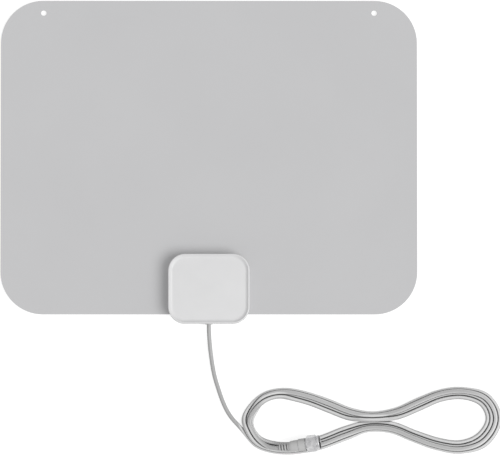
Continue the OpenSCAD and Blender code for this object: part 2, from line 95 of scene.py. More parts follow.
# How far the outermost strand lies out at each knot, in diameters from its place against the others
HANK_SPREAD = [
    0, 0, 0, 0.1, 0.4, 0.5, 0, 0, 0, 0.1, 0.3, 0.9, 0.9, 0.6, 0, 0, 0.2, 0, 0, 0.2, 0.3, 0.1, 0, 0,
]


# Camera, in metres

PHOTO_WIDTH = 0.36625
AIM = Vector((0.0301, -0.0478, 0.0))
LENS = 350
SENSOR = 36
FAR_CLIP = 20
TILT_LEFT = math.radians(0.2)
TILT_DOWN = math.radians(2.5)


def place_camera():
    """Long lens that looks down on the sheet, with the photograph's width across the aim point."""
    back = Vector((-math.tan(TILT_LEFT), -math.tan(TILT_DOWN), 1)).normalized()
    across = Vector((0, 1, 0)).cross(back).normalized()
    up = back.cross(across)
    data = bpy.data.cameras.new("camera")
    data.lens = LENS
    data.sensor_width = SENSOR
    data.clip_end = FAR_CLIP
    camera = bpy.data.objects.new("camera", data)
    spot = AIM + back * (PHOTO_WIDTH * LENS / SENSOR)
    turn = Matrix((across, up, back)).transposed().to_4x4()
    camera.matrix_world = Matrix.Translation(spot) @ turn
    bpy.context.scene.collection.objects.link(camera)
    bpy.context.scene.camera = camera


place_camera()


# Mesh helpers


def full_turn(count):
    """Angles of a count of even steps once round."""
    return np.arange(count) * 2 * math.pi / count


def grid_faces(rows, columns):
    """Quads of a grid of rows by columns points, whose columns close into rings."""
    i = np.arange(rows - 1)[:, None]
    j = np.arange(columns)[None, :]
    k = (j + 1) % columns
    quads = np.stack(
        [i * columns + j, i * columns + k, (i + 1) * columns + k, (i + 1) * columns + j], axis=-1
    )
    return quads.reshape(-1, 4)


def capped_faces(rows, columns):
    """The quads of a grid of rings, with one flat face over the first ring and one over the last."""
    last = (rows - 1) * columns
    caps = [list(range(columns))[::-1], list(range(last, last + columns))]
    return grid_faces(rows, columns).tolist() + caps


def looped_faces(rows, columns):
    """The quads of a grid of rings whose last ring joins its first one."""
    return grid_faces(rows + 1, columns) % (rows * columns)


def new_piece(name, points, faces, smooth=True, uv=None):
    """Mesh object from an array of points, in metres, and lists of faces, with an optional UV map."""
    mesh = bpy.data.meshes.new(name)
    mesh.from_pydata(np.asarray(points).tolist(), [], [list(map(int, f)) for f in faces])
    mesh.polygons.foreach_set("use_smooth", [smooth] * len(mesh.polygons))
    if uv is not None:
        layer = mesh.uv_layers.new(name="along")
        corner = np.zeros(len(mesh.loops), np.int32)
        mesh.loops.foreach_get("vertex_index", corner)
        layer.data.foreach_set("uv", np.asarray(uv, np.float32)[corner].ravel())
    mesh.update()
    piece = bpy.data.objects.new(name, mesh)
    bpy.context.scene.collection.objects.link(piece)
    return piece


def mark(piece, name, values):
    """Stores one number per point on a piece, for its finish to read."""
    layer = piece.data.attributes.new(name, "FLOAT", "POINT")
    layer.data.foreach_set("value", np.asarray(values, np.float32).ravel())


def along_plug(x, radius, angle):
    """Points at distance x from the boot's tail, at a radius and an angle round the plug's axis.

    The angle starts sideways, to the left of the way the plug points, and turns upwards first.
    """
    side = np.array([-math.sin(PLUG_YAW), math.cos(PLUG_YAW), 0.0])
    up = np.cross(PLUG_AXIS, side)
    tail = np.array(TAIL_ROUTE[-1], float) + [0, POD_BOTTOM_Y, 0]
    x, radius, angle = np.broadcast_arrays(x, radius, angle)
    spread = radius[..., None] * (np.cos(angle)[..., None] * side + np.sin(angle)[..., None] * up)
    return (tail + x[..., None] * PLUG_AXIS + spread) * MM


# The lead

TURNS = 4
KNOTS_A_TURN = len(HANK_KNOTS)
KNOT_STEP = 0.05
TANGENT_STEP = 0.02
RING_STEP = 1.0
SPRINGINESS = 2.2

# Where the strand enters and leaves the hank, and where it changes lanes, in knots from its start
HANK_ENTRY, HANK_EXIT = 1.0, TURNS * KNOTS_A_TURN + 0.3
UP_ROLL = (23.7, 24.5)
DOWN_ROLL = (46.8, 48.0)
SLIDE_IN = (70.6, 71.8)
WAIST_STARTS, WAIST_ENDS = (76.5, 77.5), (79.5, 80.5)
HOP_UP, HOP_DOWN = (88.7, 89.9), (90.2, 91.4)
LAST_ROLL = (93.3, 94.3)
ROLL = math.pi / 3
WAIST_GIVE = 0.09

# Rings this near along the lead aren't neighbours, and this many of the closest ones are measured
OWN_STRETCH = 8
NEIGHBOURS = 32


def smooth_curve(p0, p1, p2, p3, f):
    """Point at share f of the cubic from p1 to p2 with end tangents of half p2-p0 and half p3-p1."""
    f = f[:, None]
    return 0.5 * (
        2 * p1
        + (p2 - p0) * f
        + (2 * p0 - 5 * p1 + 4 * p2 - p3) * f**2
        + (3 * p1 - p0 - 3 * p2 + p3) * f**3
    )


def bundle_middle(t):
    """Middle of the hank's bundle at t knots from its left end, on the closed smooth curve."""
    knots = np.array(HANK_KNOTS, float)
    i = np.floor(t).astype(int)
    around = [knots[(i + step) % KNOTS_A_TURN] for step in (-1, 0, 1, 2)]
    return smooth_curve(*around, t - i)


def bundle_outward(t):
    """Unit vector at right angles to the bundle, to the right of the way it runs: out of the loop."""
    ahead = bundle_middle(t + TANGENT_STEP) - bundle_middle(t - TANGENT_STEP)
    ahead /= np.linalg.norm(ahead, axis=1)[:, None]
    return np.stack([ahead[:, 1], -ahead[:, 0]], axis=1)


def ease(t, start, end):
    """Smooth step from 0 at start to 1 at end: f squared times (3 - 2 f)."""
    f = np.clip((t - start) / (end - start), 0, 1)
    return f * f * (3 - 2 * f)


def loosened(t):
    """How far the outermost strand stands off at t knots, in diameters: eased from knot to knot."""
    spread = np.array(HANK_SPREAD, float)
    i = np.floor(t).astype(int)
    here, ahead = spread[i % KNOTS_A_TURN], spread[(i + 1) % KNOTS_A_TURN]
    return here + (ahead - here) * ease(t, i, i + 1)


def strand_lane(t):
    """Where the strand lies in its bundle t knots after the start: outward and up, in diameters.

    The first turn lies outermost on the table, and stands off where the hank is loose. It rolls 60
    degrees up round the middle strand and rides between it and the first turn for the second, sunk as
    deep as their gap lets it: height is the root of 1 minus out squared. It rolls down to the middle for
    the third, and slides inwards for the fourth, which gives way a little where the two sides of the
    hank touch, hops into the groove beside it near the end, and rolls up on it at the end.
    """
    up_roll = ROLL * ease(t, *UP_ROLL)
    slack = loosened(t)
    out, height = np.cos(up_roll) + slack, np.sin(up_roll)
    second = t >= UP_ROLL[1]
    sunk = np.minimum((1 + slack) / 2, 1)
    out = np.where(second, sunk, out)
    height = np.where(second, np.sqrt(1 - sunk**2), height)
    third = t >= DOWN_ROLL[0]
    down_roll = math.pi - ROLL * (1 - ease(t, *DOWN_ROLL))
    out = np.where(third, 1 + np.cos(down_roll), out)
    height = np.where(third, np.sin(down_roll), height)
    slide = t >= SLIDE_IN[0]
    out = np.where(slide, -ease(t, *SLIDE_IN), out)
    height = np.where(slide, 0, height)
    fourth = t >= SLIDE_IN[1]
    hop = ease(t, *HOP_UP) - ease(t, *HOP_DOWN)
    last_roll = math.pi - ROLL * (hop + ease(t, *LAST_ROLL))
    out = np.where(fourth, np.cos(last_roll), out)
    height = np.where(fourth, np.sin(last_roll), height)
    beside_waist = ease(t, *WAIST_STARTS) - ease(t, *WAIST_ENDS)
    return out + WAIST_GIVE * beside_waist, height


def resting_lane(t):
    """strand_lane, but the last stretch rests on every strand under it.

    Its height is the lower one's height plus the root of 1 minus their sideways gap squared.
    """
    out, height = strand_lane(t)
    for turns_back in range(1, TURNS):
        under_out, under_height = strand_lane(t - turns_back * KNOTS_A_TURN)
        gap = np.abs(out - under_out)
        lift = under_height + np.sqrt(np.clip(1 - gap**2, 0, 1))
        height = np.where((t >= LAST_ROLL[1]) & (gap < 1), np.maximum(height, lift), height)
    return out, height


def through_points(points, steps=8):
    """Smooth curve through open route points, with a number of steps from each to the next."""
    points = np.array(points, float)
    padded = np.vstack([2 * points[0] - points[1], points, 2 * points[-1] - points[-2]])
    spans = len(points) - 1
    t = np.linspace(0, spans, spans * steps + 1)
    i = np.minimum(t.astype(int), spans - 1)
    return smooth_curve(padded[i], padded[i + 1], padded[i + 2], padded[i + 3], t - i)


def evenly(points, step):
    """The same line with points one step apart."""
    lengths = np.r_[0, np.cumsum(np.linalg.norm(np.diff(points, axis=0), axis=1))]
    at = np.linspace(0, lengths[-1], int(round(lengths[-1] / step)) + 1)
    return np.stack([np.interp(at, lengths, points[:, k]) for k in range(3)], axis=1)


def relaxed(points, spread):
    """The line as a springy lead takes it: each point is a bell-weighted mean of its neighbours.

    The bell reaches four spreads to either side, and the line is carried on past its ends by turning it
    half round about each of them.
    """
    reach = int(4 * spread)
    weights = np.exp(-0.5 * (np.arange(-reach, reach + 1) / spread) ** 2)
    weights /= weights.sum()
    head = 2 * points[0] - points[reach:0:-1]
    end = 2 * points[-1] - points[-2 : -reach - 2 : -1]
    longer = np.vstack([head, points, end])
    return np.stack([np.convolve(longer[:, k], weights, "valid") for k in range(3)], axis=1)


def lead_path():
    """Centreline of the lead, in metres: out of the pod, four turns of the hank, and into the boot."""
    t = np.arange(HANK_ENTRY, HANK_EXIT, KNOT_STEP)
    out, height = resting_lane(t)
    flat = bundle_middle(t) + LEAD_D * out[:, None] * bundle_outward(t)
    hank = np.column_stack([flat, LEAD_D * (0.5 + height)])
    in_boot = np.array(TAIL_ROUTE[-1]) + BOOT_SOCKET * PLUG_AXIS
    route = np.vstack([through_points(LEAD_ROUTE), hank, through_points(TAIL_ROUTE + [in_boot])])
    line = relaxed(evenly(route, RING_STEP), SPRINGINESS)
    return (line + [0, POD_BOTTOM_Y, 0]) * MM


def room_between_turns(path, rings, radius):
    """Free room, in metres, from each point of the rings to the nearest other turn of the lead.

    That is the distance to the nearest of the path's points that lie well away along it, less the
    radius. Those closest to the middle of a ring stand for the rest.
    """
    count = np.arange(len(path))
    apart = np.linalg.norm(path[:, None] - path[None], axis=2)
    apart[np.abs(count[:, None] - count[None]) < OWN_STRETCH] = np.inf
    close = np.argpartition(apart, NEIGHBOURS, axis=1)[:, :NEIGHBOURS]
    gaps = np.linalg.norm(rings[:, :, None] - path[close][:, None], axis=3)
    return gaps.min(axis=2) - radius


def tube(name, path, radius, sides=24):
    """Round tube with flat ends: at each path point a ring of radius times (cos a side + sin a up).

    Side is level, to the left of the way the path runs, and up is at right angles to path and side. The
    UV map runs along the tube in metres and once round it. The tube is marked with its openness: the room
    to other turns, in diameters and at most 1, from which its finish paints light and shade.
    """
    ahead = np.gradient(path, axis=0)
    ahead /= np.linalg.norm(ahead, axis=1)[:, None]
    side = np.stack([-ahead[:, 1], ahead[:, 0], np.zeros(len(path))], axis=1)
    side /= np.linalg.norm(side, axis=1)[:, None]
    up = np.cross(ahead, side)
    angle = full_turn(sides)
    ring = np.cos(angle)[None, :, None] * side[:, None] + np.sin(angle)[None, :, None] * up[:, None]
    rings = path[:, None] + radius * ring
    distance = np.r_[0, np.cumsum(np.linalg.norm(np.diff(path, axis=0), axis=1))]
    uv = np.stack(
        [np.repeat(distance, sides), np.tile(np.abs(np.linspace(-1, 1, sides, False)), len(path))], axis=1
    )
    piece = new_piece(name, rings.reshape(-1, 3), capped_faces(len(path), sides), uv=uv)
    mark(piece, "openness", np.clip(room_between_turns(path, rings, radius) / (2 * radius), 0, 1))
    return piece


# The screw nut: distances from the boot's tail along the plug, and radii from its axis

NUT_BACK, HEX_END, RIM_START, NUT_END = 20.5, 27.8, 28.5, 30.1
NUT_FLATS = 11.0
CORNER_TURN = math.radians(50)
CORNER_ROUND = 0.25
CHAMFER_LEAN = math.radians(34)
CHAMFER_INSET = 0.12
CHAMFER_REACH = 1.2
# The ring groove between hexagon and rim, and the rim with its two rounded edges
RIM_PROFILE = [
    [HEX_END, 5.1], [27.86, 4.98], [27.95, 4.95], [28.15, 4.95], [28.36, 4.95], [RIM_START, 4.98],
    [28.5, 5.12], [28.56, 5.26], [28.68, 5.33], [28.85, 5.35], [29.3, 5.35], [29.8, 5.35], [29.96, 5.32],
    [30.06, 5.24], [NUT_END, 5.12],
]
# The countersink at the mouth of the bore, from the mouth inwards
MOUTH_PROFILE = [[NUT_END, 5.0], [30.06, 4.9], [29.95, 4.84], [29.8, 4.74]]
# The thread, 3/8 inch with 32 turns to the inch, which fades out before the bore's bottom
THREAD_PITCH = 25.4 / 32
THREAD_MINOR_R, THREAD_MAJOR_R = 4.36, 4.72
THREAD_START, THREAD_FULL = 29.7, 22.6
FLANK_RISE, FLANK_SLOPE = 1.5, 3.4
BORE_BOTTOM = NUT_BACK + 1.0
THREAD_END = BORE_BOTTOM + 0.6
# The bore's bottom and the hole in the back wall, which holds the nut on its post
NECK_HOLE_R = 2.9
BACK_PROFILE = [
    [BORE_BOTTOM + 0.1, 4.35], [BORE_BOTTOM, 4.25], [BORE_BOTTOM, 3.0], [BORE_BOTTOM - 0.1, NECK_HOLE_R],
    [NUT_BACK + 0.1, NECK_HOLE_R], [NUT_BACK, 3.0],
]


def hexagon(angle):
    """Radius of a hexagon: half its flats over the cosine of the angle from the nearest flat's middle.

    Close to a corner the radius is held back a little, which rounds it.
    """
    from_flat = (angle - CORNER_TURN) % (math.pi / 3) - math.pi / 6
    sharp = NUT_FLATS / 2 / np.cos(from_flat)
    corner = NUT_FLATS / 2 / math.cos(math.pi / 6)
    nearness = np.clip((sharp - (corner - CORNER_ROUND)) / CORNER_ROUND, 0, 1)
    return sharp - 0.3 * CORNER_ROUND * nearness**2


def turned(profile, columns):
    """Distances of a profile's points, and a row of equal radii for each of them."""
    profile = np.array(profile)
    return profile[:, 0], np.repeat(profile[:, 1:], columns, axis=1)


def nut_outside(angle):
    """Rings of the nut's outside as x and radius: chamfered hexagon, ring groove, and a rounded rim.

    Towards both ends the hexagon is cut by a cone that leans 34 degrees from the end face: the radius is
    the smaller of the two.
    """
    hex_x = np.r_[
        NUT_BACK,
        NUT_BACK + np.linspace(0.05, CHAMFER_REACH, 10),
        np.linspace(22, 26.4, 8),
        HEX_END - np.linspace(CHAMFER_REACH, 0.05, 10),
        HEX_END,
    ]
    from_end = np.minimum(hex_x - NUT_BACK, HEX_END - hex_x)
    cone = NUT_FLATS / 2 - CHAMFER_INSET + from_end / math.tan(CHAMFER_LEAN)
    hex_r = np.minimum(hexagon(angle)[None, :], cone[:, None])
    rim_x, rim_r = turned(RIM_PROFILE, len(angle))
    return np.r_[hex_x, rim_x], np.vstack([hex_r, rim_r])


def nut_inside(angle):
    """Rings of the bore from the mouth inwards, with a right-handed thread.

    The thread's radius is the minor radius plus its depth times a flattened triangle wave of
    x over pitch minus angle over a turn. It grows out of the mouth's countersink and runs out at the
    bottom.
    """
    mouth_x, mouth_r = turned(MOUTH_PROFILE, len(angle))
    thread_x = np.linspace(THREAD_START, THREAD_END, 96)
    wave = (thread_x[:, None] / THREAD_PITCH - angle[None, :] / (2 * math.pi)) % 1
    triangle = np.clip(FLANK_RISE - np.abs(wave - 0.5) * FLANK_SLOPE, 0, 1)
    depth = (THREAD_MAJOR_R - THREAD_MINOR_R) * ease(thread_x, THREAD_END, THREAD_FULL)
    thread_r = THREAD_MINOR_R + depth[:, None] * triangle
    back_x, back_r = turned(BACK_PROFILE, len(angle))
    return np.r_[mouth_x, thread_x, back_x], np.vstack([mouth_r, thread_r, back_r])


def screw_nut(bright, bore_shade, sides=144):
    """Nut as one closed grid: the rings outside from back to mouth, then those inside, mouth to back.

    The rings inside the mouth get a near-black finish, which is painted shade for the bore's depth.
    """
    angle = CORNER_TURN + full_turn(sides)
    outside_x, outside_r = nut_outside(angle)
    inside_x, inside_r = nut_inside(angle)
    x, radius = np.r_[outside_x, inside_x], np.vstack([outside_r, inside_r])
    points = along_plug(x[:, None], radius, angle[None, :])
    piece = new_piece("screw_nut", points.reshape(-1, 3), looped_faces(len(x), sides))
    piece.data.materials.append(bright)
    piece.data.materials.append(bore_shade)
    # The faces in the bore take the near-black finish: painted shade
    in_bore = np.repeat(np.arange(len(x)) > len(outside_x) + 1, sides)
    piece.data.polygons.foreach_set("material_index", in_bore.astype(np.int32))
    return piece


# The pod's front cover

POD_CORNER = 12.5
ROOF_Z = 9.5
WALL_T = 1.6
INNER_ROUND = 0.6
RIM_ROUND = 0.7
# The dish: where its slope starts and ends, from the outline inwards, its depth, and the face's crown
DISH_START, DISH_END, DISH_DEPTH, FACE_CROWN = 0.95, 3.3, 1.6, 0.45
BOSS_X, BOSS_Y, BOSS_R, BOSS_CORE_R, BOARD_TOP_Z = 20.5, 12.5, 3.0, 1.0, 4.4
GROMMET_NECK_R = 2.6
# A row this close to an edge keeps the shading of the flat beside it even
BESIDE_EDGE = 0.15
# Edges shorter than this, in metres, are cleared after a cut
SLIVER = 1e-6
SHARP_EDGE = math.radians(40)


def pod_outline(arc=20, run=8):
    """Columns of the pod's outline, anticlockwise: the middle that each turns round, and its normal.

    The middle stays at a corner while the normal turns a quarter, and then moves on to the next corner.
    """
    half_x, half_y = POD_W / 2 - POD_CORNER, POD_H / 2 - POD_CORNER
    corners = np.array([[half_x, half_y], [-half_x, half_y], [-half_x, -half_y], [half_x, -half_y]])
    turn = np.r_[np.linspace(0, 1, arc + 1), np.ones(run - 1)]
    move = np.r_[np.zeros(arc + 1), np.arange(1, run) / run][None, :, None]
    angle = (np.arange(4)[:, None] + turn) * math.pi / 2
    middle = corners[:, None] * (1 - move) + np.roll(corners, -1, axis=0)[:, None] * move
    normal = np.stack([np.cos(angle), np.sin(angle)], axis=-1)
    return middle.reshape(-1, 2), normal.reshape(-1, 2)


def wall_rows(inset, height, share=1.0):
    """Rows of inset, height and share, any of which may be one number for all of the rows."""
    return np.stack(np.broadcast_arrays(inset, height, share), axis=1)


def cover_section():
    """Rows of the cover's wall as inset, height and share of the way out from the pod's middle.

    From the middle of the inside along the roof, down the inner wall, up the outer wall, over the rim's
    quarter round, and down the dish: the crest less the depth times 1 minus (1 - f) squared, where f is
    the share of the slope's width. The face rises again to its middle by the crown times 1 minus the
    share squared.
    """
    quarter = np.linspace(0, math.pi / 2, 6)
    roof = wall_rows(WALL_T + INNER_ROUND, ROOF_Z, np.array([0.06, 0.2, 0.4, 0.6, 0.8, 0.95]))
    corner = wall_rows(
        WALL_T + INNER_ROUND - INNER_ROUND * np.sin(quarter),
        ROOF_Z - INNER_ROUND + INNER_ROUND * np.cos(quarter),
    )
    inner = wall_rows(WALL_T, np.array([8.7, 6.0, WALL_FOOT_Z + BESIDE_EDGE, WALL_FOOT_Z]))
    round_z = CREST_Z - RIM_ROUND
    outer_z = np.array([WALL_FOOT_Z, WALL_FOOT_Z + BESIDE_EDGE, 6.0, 9.0, round_z - 0.2])
    outer = wall_rows(0.0, outer_z)
    quarter = np.linspace(0, math.pi / 2, 9)
    rim = wall_rows(RIM_ROUND * (1 - np.cos(quarter)), round_z + RIM_ROUND * np.sin(quarter))
    edge = np.array([[DISH_START - 0.05, CREST_Z, 1], [DISH_START + 0.04, CREST_Z - 0.05, 1]])
    f = np.linspace(0.05, 1, 15)
    dish_x = DISH_START + (DISH_END - DISH_START) * f
    dish = wall_rows(dish_x, CREST_Z - DISH_DEPTH * (1 - (1 - f) ** 2))
    share = np.array([0.97, 0.9, 0.8, 0.68, 0.55, 0.42, 0.3, 0.18, 0.06])
    face = wall_rows(DISH_END, CREST_Z - DISH_DEPTH + FACE_CROWN * (1 - share**2), share)
    return np.vstack([roof, corner, inner, outer, rim, edge, dish, face])


def cover_shell():
    """Points and faces of the cover: its section carried round the outline, with a cap at each middle."""
    middle, normal = pod_outline()
    section = cover_section()
    reach = POD_CORNER - section[:, 0]
    flat = section[:, 2, None, None] * (middle[None] + reach[:, None, None] * normal[None])
    height = np.repeat(section[:, 1, None], len(middle), axis=1)
    points = np.concatenate([flat + [0, POD_MIDDLE_Y], height[..., None]], axis=-1).reshape(-1, 3)
    return points, capped_faces(len(section), len(middle))


def cored_boss(x, y, sides=40):
    """Points and faces of one boss under the roof: radius and height rows turned once round its axis."""
    edge = 0.1
    top, core_top = ROOF_Z + 0.05, ROOF_Z - 0.4
    rows = np.array([
        [0.05, core_top], [BOSS_CORE_R, core_top], [BOSS_CORE_R, BOARD_TOP_Z + edge],
        [BOSS_CORE_R + edge, BOARD_TOP_Z], [BOSS_R - edge, BOARD_TOP_Z], [BOSS_R, BOARD_TOP_Z + edge],
        [BOSS_R, top],
    ])
    angle = full_turn(sides)
    ring = np.stack([np.cos(angle), np.sin(angle)], axis=1)
    flat = np.array([x, y]) + rows[:, 0, None, None] * ring[None]
    height = np.repeat(rows[:, 1, None], sides, axis=1)
    points = np.concatenate([flat, height[..., None]], axis=-1).reshape(-1, 3)
    return points, capped_faces(len(rows), sides)


def with_hole(piece, x, z, radius, start_y, end_y, sides=48):
    """Cuts a round hole along Y through a piece, clears any sliver, and keeps the hole's edges sharp."""
    angle = full_turn(sides)
    ring = np.stack([x + radius * np.cos(angle), z + radius * np.sin(angle)], axis=1)
    ends = [np.column_stack([ring[:, 0], np.full(sides, y), ring[:, 1]]) for y in (end_y, start_y)]
    cutter = new_piece("hole_cutter", np.vstack(ends) * MM, capped_faces(2, sides), smooth=False)
    cut = piece.modifiers.new("hole", "BOOLEAN")
    cut.operation = "DIFFERENCE"
    cut.solver = "EXACT"
    cut.object = cutter
    shape = piece.evaluated_get(bpy.context.evaluated_depsgraph_get())
    piece.data = bpy.data.meshes.new_from_object(shape)
    piece.modifiers.clear()
    bpy.data.objects.remove(cutter)
    cleared = bmesh.new()
    cleared.from_mesh(piece.data)
    bmesh.ops.dissolve_degenerate(cleared, edges=cleared.edges, dist=SLIVER)
    cleared.to_mesh(piece.data)
    cleared.free()
    piece.data.set_sharp_from_angle(angle=SHARP_EDGE)


def front_cover():
    """Cover of the pod with its four bosses, and the hole that holds the grommet."""
    parts = [cover_shell()]
    parts += [cored_boss(x, POD_MIDDLE_Y + y) for x in (-BOSS_X, BOSS_X) for y in (-BOSS_Y, BOSS_Y)]
    starts = np.cumsum([0] + [len(points) for points, _ in parts])
    faces = [[k + start for k in face] for (_, some), start in zip(parts, starts) for face in some]
    piece = new_piece("dished_cover", np.vstack([points for points, _ in parts]) * MM, faces)
    with_hole(piece, 0, GROMMET_FACE[2], GROMMET_NECK_R, POD_BOTTOM_Y - 1, POD_BOTTOM_Y + WALL_T + 1)
    return piece


# The plug's boot

# From the lead's hole out over the tail with its three grooves, the shoulder, the body and the collar,
# and back through the ferrule's seat and the lead's socket: distance from the tail, and radius
BOOT_PROFILE = [
    [0, 1.52], [0, 2.6], [0.95, 2.6], [0.95, 1.7], [1.95, 1.7], [1.95, 2.62], [2.95, 2.62], [2.95, 1.7],
    [3.95, 1.7], [3.95, 2.62], [5.05, 2.62], [5.05, 1.7], [6.05, 1.7], [6.05, 2.6], [6.75, 2.6],
    [7.4, 3.25], [8.3, 3.72], [9.3, 4.0], [11.9, 4.1], [14.5, 4.15], [14.5, 4.6], [19.7, 4.6],
    [19.7, 3.3], [12, 3.3], [12, 0.02], [6, 0.02], [6, 1.52], [0, 1.52], [0, 2.6],
]
BOOT_ROUND = 0.16
GROOVES_END = 6.2
GROOVE_R = 1.7
GROOVE_DEPTH = 0.9


def softened(corners, reach, steps=5):
    """Profile whose corners are rounded, as points of x and radius.

    Each corner becomes the quadratic curve that it pulls between two points at a given reach on either
    side of it, and one more point just outside each keeps the flats flat.
    """
    corners = np.array(corners, float)
    here = corners[1:-1]
    before, after = corners[:-2] - here, corners[2:] - here
    before_length = np.linalg.norm(before, axis=1)[:, None]
    after_length = np.linalg.norm(after, axis=1)[:, None]
    start = before * np.minimum(reach / before_length, 0.4)
    end = after * np.minimum(reach / after_length, 0.4)
    f = np.linspace(0, 1, steps)[:, None, None]
    curve = here + (1 - f) ** 2 * start + f**2 * end
    held = np.concatenate([(here + 1.2 * start)[None], curve, (here + 1.2 * end)[None]])
    return held.transpose(1, 0, 2).reshape(-1, 2)


def boot_shell(sides=96):
    """Boot as its rounded profile turned once round the plug's axis; the profile closes on itself.

    It is marked with its openness: the share of the way up out of a groove, and 1 on the rest, from which
    its finish paints shade in the grooves.
    """
    profile = softened(BOOT_PROFILE, BOOT_ROUND)
    points = along_plug(profile[:, :1], profile[:, 1:], full_turn(sides)[None, :])
    piece = new_piece("ribbed_boot", points.reshape(-1, 3), looped_faces(len(profile), sides))
    way_up = np.clip((profile[:, 1] - GROOVE_R) / GROOVE_DEPTH, 0, 1)
    openness = np.where(profile[:, 0] < GROOVES_END, way_up, 1)
    mark(piece, "openness", np.repeat(openness, sides))
    return piece


# Finishes


def grey(tone):
    """Neutral colour of a tone from 0 to 1."""
    return (tone, tone, tone)


def finish(name, colour, roughness, **sockets):
    """New material whose main shader has a colour, a roughness and any other plain socket values."""
    material = bpy.data.materials.new(name)
    material.use_nodes = True
    shader = material.node_tree.nodes["Principled BSDF"]
    shader.inputs["Base Color"].default_value = (*colour, 1)
    shader.inputs["Roughness"].default_value = roughness
    for socket, value in sockets.items():
        shader.inputs[socket.replace("_", " ")].default_value = value
    return material


def noise_over(material, scale, detail, coordinates="Object", stretch=None):
    """Value of a noise laid over the piece, stretched along the axes where the finish has a direction."""
    nodes, links = material.node_tree.nodes, material.node_tree.links
    place = nodes.new("ShaderNodeTexCoord").outputs[coordinates]
    if stretch:
        spread = nodes.new("ShaderNodeMapping")
        spread.inputs["Scale"].default_value = stretch
        links.new(place, spread.inputs["Vector"])
        place = spread.outputs["Vector"]
    noise = nodes.new("ShaderNodeTexNoise")
    noise.inputs["Scale"].default_value = scale
    noise.inputs["Detail"].default_value = detail
    links.new(place, noise.inputs["Vector"])
    return noise.outputs["Fac"]


def mottle(material, colours, scale, detail=3, coordinates="Object"):
    """Colour that drifts between two tones with a soft noise of a given scale."""
    nodes, links = material.node_tree.nodes, material.node_tree.links
    ramp = nodes.new("ShaderNodeValToRGB")
    for element, position, colour in zip(ramp.color_ramp.elements, (0.3, 0.7), colours):
        element.position = position
        element.color = (*colour, 1)
    links.new(noise_over(material, scale, detail, coordinates), ramp.inputs["Fac"])
    links.new(ramp.outputs["Color"], nodes["Principled BSDF"].inputs["Base Color"])


def paint_light_and_shade_by_openness(material, stops):
    """Colour times a tone that follows the piece's openness, through pairs of openness and tone, which
    paints light and shade onto the piece by how close its other parts lie.
    """
    nodes, links = material.node_tree.nodes, material.node_tree.links
    openness = nodes.new("ShaderNodeAttribute")
    openness.attribute_name = "openness"
    ramp = nodes.new("ShaderNodeValToRGB")
    elements = ramp.color_ramp.elements
    while len(elements) < len(stops):
        elements.new(0.5)
    for element, (position, tone) in zip(elements, stops):
        element.position = position
        element.color = (*grey(tone), 1)
    both = nodes.new("ShaderNodeMix")
    both.data_type = "RGBA"
    both.blend_type = "MULTIPLY"
    both.inputs["Factor"].default_value = 1
    base = nodes["Principled BSDF"].inputs["Base Color"]
    links.new(base.links[0].from_socket, both.inputs["A"])
    links.new(openness.outputs["Fac"], ramp.inputs["Fac"])
    links.new(ramp.outputs["Color"], both.inputs["B"])
    links.new(both.outputs["Result"], base)


def grain(material, scale, strength, distance, stretch=None, coordinates="Object"):
    """Fine bump from a noise, whose distance is in metres."""
    nodes, links = material.node_tree.nodes, material.node_tree.links
    bump = nodes.new("ShaderNodeBump")
    bump.inputs["Strength"].default_value = strength
    bump.inputs["Distance"].default_value = distance
    links.new(noise_over(material, scale, 4, coordinates, stretch), bump.inputs["Height"])
    links.new(bump.outputs["Normal"], nodes["Principled BSDF"].inputs["Normal"])


def wear(material, scale, low, high):
    """Roughness that varies from low to high in soft patches, as on a handled surface."""
    nodes, links = material.node_tree.nodes, material.node_tree.links
    span = nodes.new("ShaderNodeMapRange")
    span.inputs["To Min"].default_value = low
    span.inputs["To Max"].default_value = high
    links.new(noise_over(material, scale, 2), span.inputs["Value"])
    links.new(span.outputs["Result"], nodes["Principled BSDF"].inputs["Roughness"])


def matte_film():
    """Matte grey laminate with a barely visible cloudiness and a fine emboss."""
    material = finish("matte_film", (0.55, 0.55, 0.56), 0.6, Specular_IOR_Level=0.35)
    mottle(material, [(0.545, 0.545, 0.553), (0.56, 0.56, 0.568)], 14)
    grain(material, 2600, 0.12, 0.00005)
    wear(material, 30, 0.55, 0.68)
    return material


def moulded_shell():
    """Pale satin moulding with a spark-eroded grain."""
    material = finish("moulded_shell", (0.72, 0.72, 0.73), 0.38)
    mottle(material, [(0.70, 0.70, 0.705), (0.72, 0.72, 0.725)], 60)
    grain(material, 4200, 0.08, 0.00003)
    wear(material, 90, 0.34, 0.42)
    return material


def soft_jacket():
    """Soft plastic of the lead, with faint extrusion lines along it.

    Its colour carries painted shade deep between its turns, painted light beside that, and painted shade
    again, a shade darker, where the lead lies free of other turns.
    """
    material = finish("soft_jacket", grey(0.735), 0.33, Specular_IOR_Level=0.35)
    mottle(material, [grey(0.72), grey(0.75)], 40, coordinates="UV")
    # Painted light and shade: near black deep between the turns, full tone beside them, darker where the
    # lead lies free
    paint_light_and_shade_by_openness(material, [(0.12, 0.06), (0.3, 0.8), (0.55, 1), (0.95, 0.59)])
    grain(material, 30, 0.15, 0.00004, stretch=(0.8, 6, 1), coordinates="UV")
    return material


def moulded_rubber(name):
    """The lead's plastic as it is moulded round its ends, with a tool grain."""
    material = finish(name, grey(0.52), 0.4, Specular_IOR_Level=0.35)
    mottle(material, [grey(0.505), grey(0.535)], 160)
    grain(material, 5200, 0.2, 0.00003)
    return material


def grooved_rubber():
    """The same plastic on the boot, with painted shade down in its grooves."""
    material = moulded_rubber("boot_rubber")
    # Painted shade: the colour darkens down into the boot's grooves
    paint_light_and_shade_by_openness(material, [(0.27, 0.4), (0.9, 1)])
    return material


